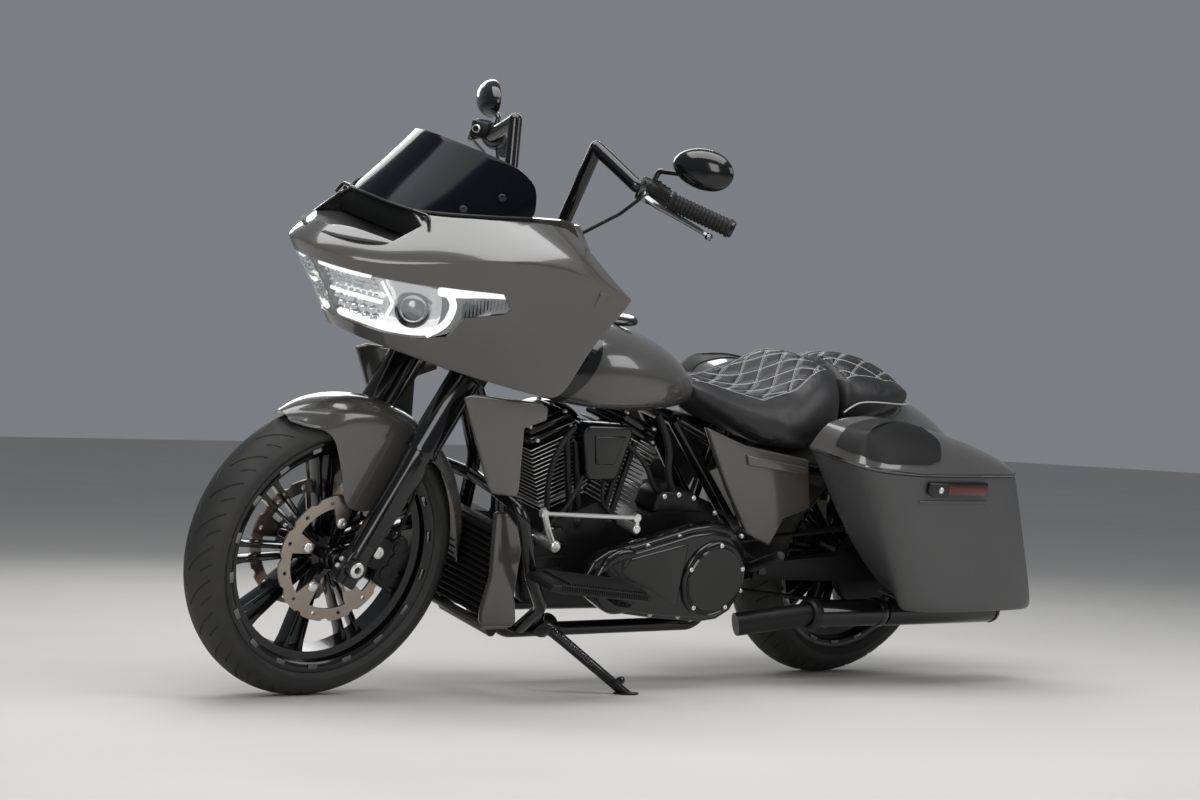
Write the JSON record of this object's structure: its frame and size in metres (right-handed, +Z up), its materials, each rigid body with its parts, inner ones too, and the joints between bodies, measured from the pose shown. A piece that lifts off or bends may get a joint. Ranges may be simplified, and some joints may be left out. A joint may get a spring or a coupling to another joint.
{
  "type": "touring cruiser motorcycle",
  "caption": "Long low touring cruiser with a frame-mounted fairing, hard saddlebags and tall bars, leaning on its side stand.",
  "frame": {"origin": "centre of the box under the parked motorcycle, on the ground", "axes": "+X forward along the wheels, +Y to the left, the side it leans to, +Z up"},
  "size_m": [2.4319, 1.1267, 1.4799],
  "materials": {
    "body_paint": "gloss dark grey paint with clear coat",
    "bag_paint": "satin dark grey",
    "black_gloss": "gloss black powder coat",
    "black_satin": "satin black powder coat",
    "machined": "black fins with machined bright edges",
    "steel": "ground steel",
    "chrome_black": "dark chrome",
    "tyre": "black rubber",
    "rubber": "ribbed black rubber",
    "leather": "black stitched leather",
    "smoke": "dark smoked screen",
    "lamp": "clear lamp lens over bright reflectors",
    "red_lens": "red lens",
    "plastic": "grained black plastic"
  },
  "bodies": {
    "chassis": {"frame": "black_gloss", "engine_case": "black_satin", "front_cylinder": "machined", "rear_cylinder": "machined", "rocker_covers": "black_gloss", "coil_cover": "plastic", "primary_cover": "black_gloss", "derby_cover": "black_gloss", "air_cleaner": "black_gloss", "fuel_tank": "body_paint", "seat": "leather", "pillion": "leather", "side_covers": "body_paint", "main_fairing": "body_paint", "vent_duct": "plastic", "inner_fairing": "plastic", "headlight": "lamp", "windshield": "smoke", "lower_fairings": "body_paint", "chin_fairing": "body_paint", "radiator_grille": "plastic", "engine_guard": "black_gloss", "footrests": "black_satin", "shift_linkage": "chrome_black", "exhausts": "black_satin", "saddlebag_left": "bag_paint", "saddlebag_right": "bag_paint", "rear_fender": "body_paint", "tail_lamp": "red_lens", "swingarm": "black_satin", "rear_axle": "steel", "rear_shocks": "black_satin", "drive_belt": "rubber", "rear_caliper": "black_satin"},
    "steering": {"fork_legs": "black_gloss", "triple_clamps": "black_satin", "front_axle": "steel", "front_fender": "body_paint", "front_calipers": "black_satin", "handlebar": "black_gloss", "grips": "rubber", "hand_controls": "black_satin", "mirrors": "black_gloss", "brake_lines": "rubber", "control_lines": "rubber"},
    "front_wheel": {"front_tyre": "tyre", "front_rim": "black_gloss", "front_discs": "steel"},
    "rear_wheel": {"rear_tyre": "tyre", "rear_rim": "black_gloss", "rear_disc": "steel", "rear_pulley": "black_satin"},
    "side_stand": {"side_stand": "black_satin"},
    "left_lid": {"bag_lid_left": "body_paint"},
    "right_lid": {"bag_lid_right": "body_paint"}
  },
  "joints": [
    {"name": "steering", "type": "hinge", "parent": "chassis", "child": "steering", "pos_m": [0.871, -0.14447, 0.33685], "axis": [-0.4384, 0.2174, 0.8721], "range_deg": [-27, 27]},
    {"name": "front_wheel_spin", "type": "hinge", "parent": "steering", "child": "front_wheel", "pos_m": [0.871, -0.14447, 0.33685], "axis": [0, 0.9703, -0.2419], "continuous": true},
    {"name": "rear_wheel_spin", "type": "hinge", "parent": "chassis", "child": "rear_wheel", "pos_m": [-0.754, -0.14839, 0.32112], "axis": [0, 0.9703, -0.2419], "continuous": true},
    {"name": "side_stand_swing", "type": "hinge", "parent": "chassis", "child": "side_stand", "pos_m": [0.298, -0.03376, 0.16084], "axis": [0, 0.8572, 0.515], "range_deg": [0, 50]},
    {"name": "left_lid_hinge", "type": "hinge", "parent": "chassis", "child": "left_lid", "pos_m": [-0.684, 0.15627, 0.71637], "axis": [1, 0, 0], "range_deg": [0, 65]},
    {"name": "right_lid_hinge", "type": "hinge", "parent": "chassis", "child": "right_lid", "pos_m": [-0.684, -0.23184, 0.81314], "axis": [-1, 0, 0], "range_deg": [0, 65]}
  ]
}
